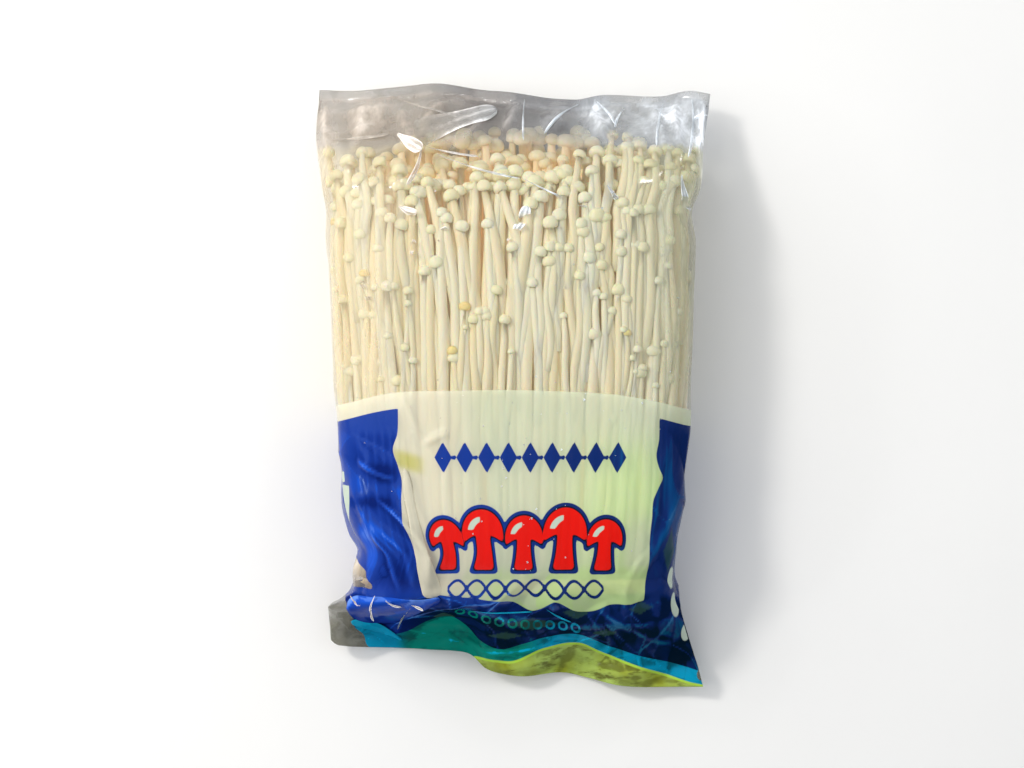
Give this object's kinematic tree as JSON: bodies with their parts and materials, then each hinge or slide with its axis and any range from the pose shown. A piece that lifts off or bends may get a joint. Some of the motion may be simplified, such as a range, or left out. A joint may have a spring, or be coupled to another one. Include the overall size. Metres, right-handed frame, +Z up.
{
  "type": "bagged enoki mushroom bunch",
  "caption": "Bunch of enoki mushrooms, thin stems with small round caps grown from one butt, in a clear and printed film bag, lying on its back.",
  "frame": {"origin": "on the surface that the bag lies on, under the middle of the bag", "axes": "+Z up, away from that surface and out of the front of the bag; +Y along the mushrooms, from the butt to the caps; +X to the right for someone who looks down on the front"},
  "size_m": [0.1341, 0.2074, 0.0441],
  "materials": {
    "mushroom_flesh": "satin",
    "bag_film": "gloss"
  },
  "bodies": {
    "root": {"enoki_bunch": "mushroom_flesh", "film_bag": "bag_film"}
  },
  "joints": []
}
